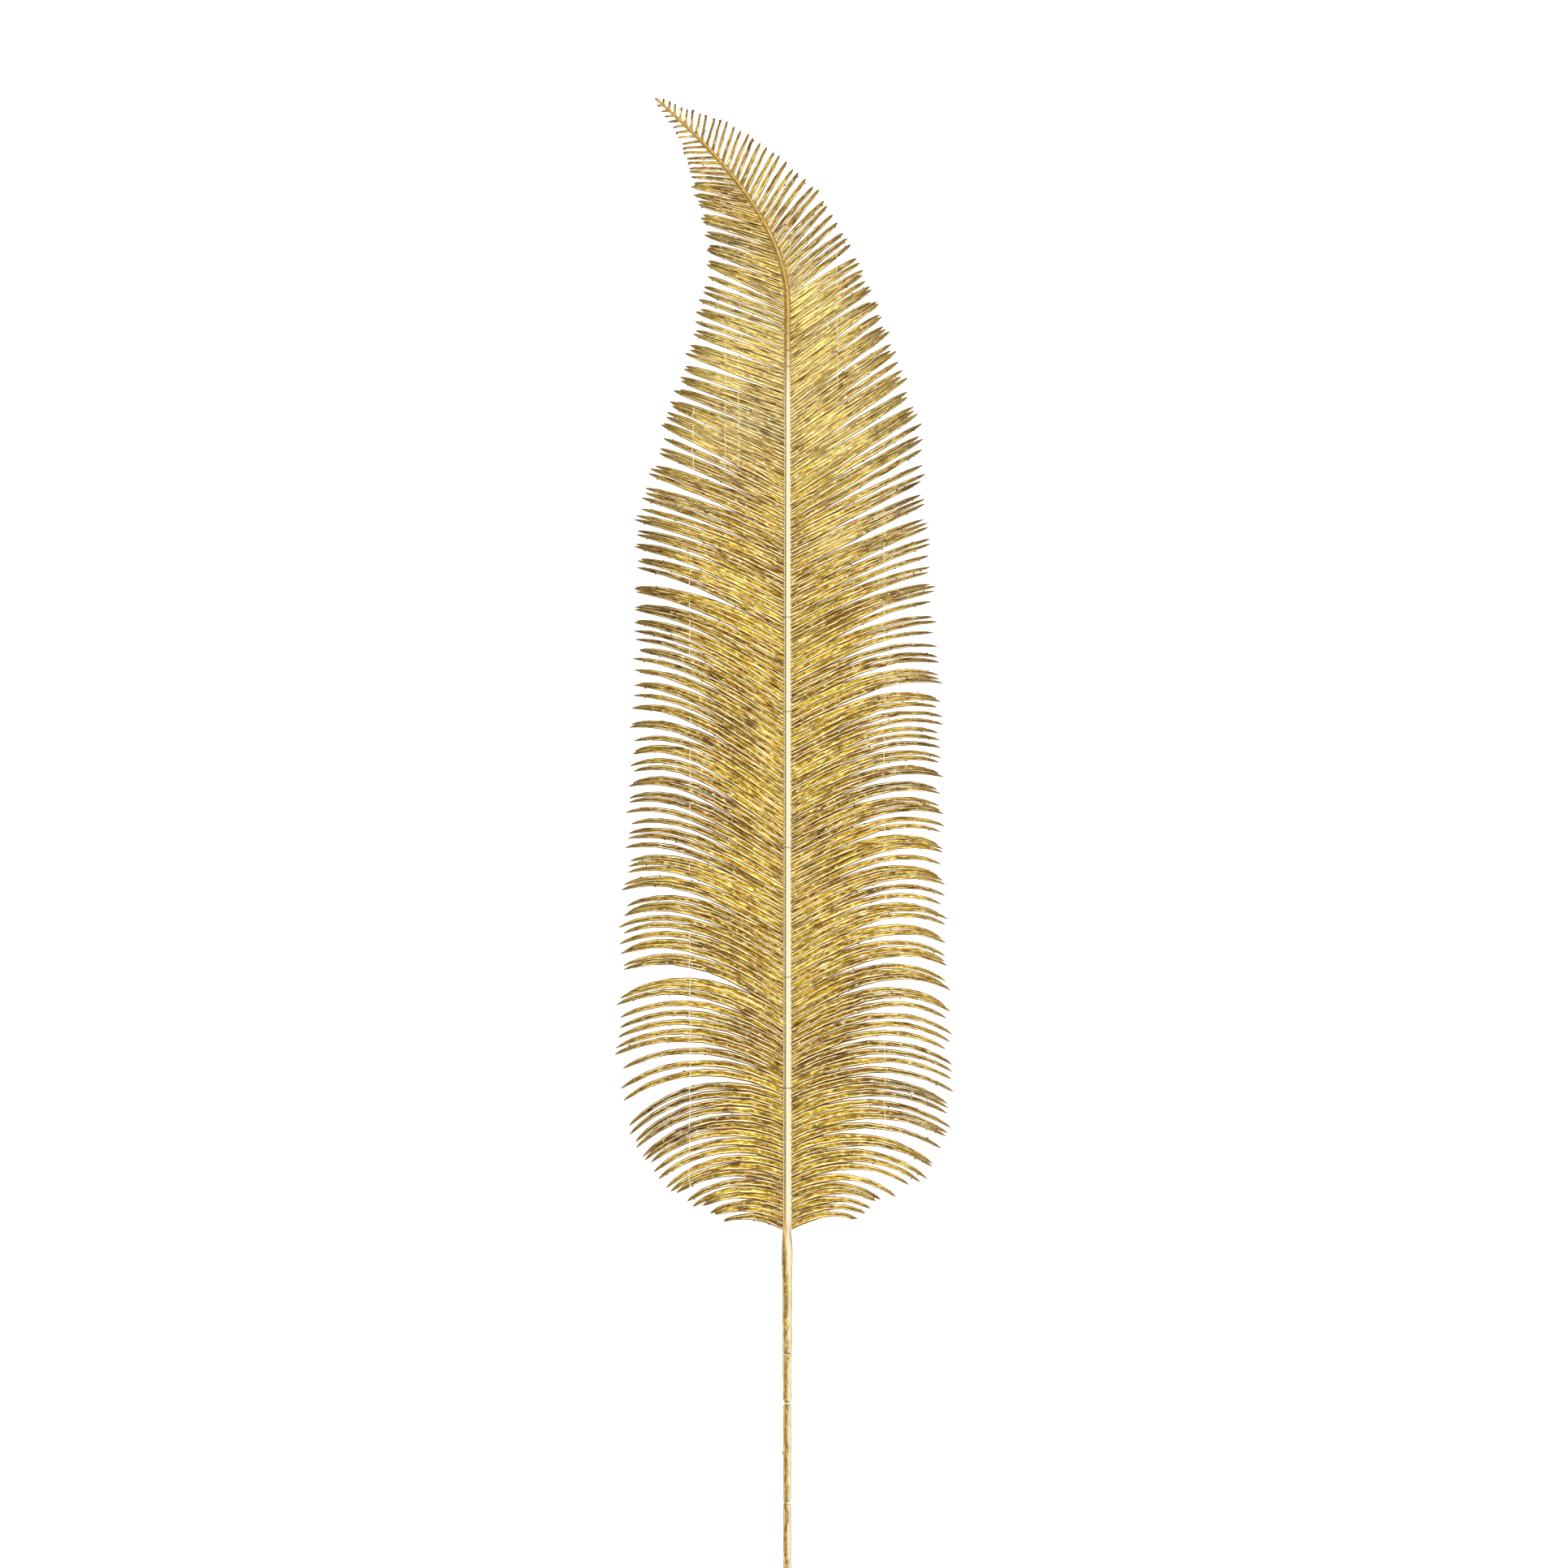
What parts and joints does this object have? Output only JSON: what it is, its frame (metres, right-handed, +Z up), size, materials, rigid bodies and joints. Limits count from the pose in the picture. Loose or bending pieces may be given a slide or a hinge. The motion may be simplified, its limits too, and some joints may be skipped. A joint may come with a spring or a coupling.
{
  "type": "artificial cycad leaf",
  "caption": "Gilded artificial cycad leaf: a long pinnate blade of narrow arched leaflets on a midrib that bends at its tip, on a slim wired stem. Lies flat as decoration or goes in a vase.",
  "frame": {"origin": "on the table, in the middle line of the flat spot under the stalk's swelling, just below where the blade of leaflets starts", "axes": "+Y along the straight part of the midrib towards the tip, +X to the right of the leaf's face, +Z up out of the leaf's face"},
  "size_m": [0.209, 0.9213, 0.0167],
  "materials": {
    "gilded_leaf": "moulded plastic with a metallic gold coat, mottled, darker grey-brown at the leaflets' tips",
    "gilded_stem": "moulded plastic sleeve with a paler, crumpled metallic gold coat",
    "wire": "drawn steel wire, cut square"
  },
  "bodies": {
    "root": {"frond": "gilded_leaf", "stem_cover": "gilded_stem", "core_wire": "wire"}
  },
  "joints": []
}
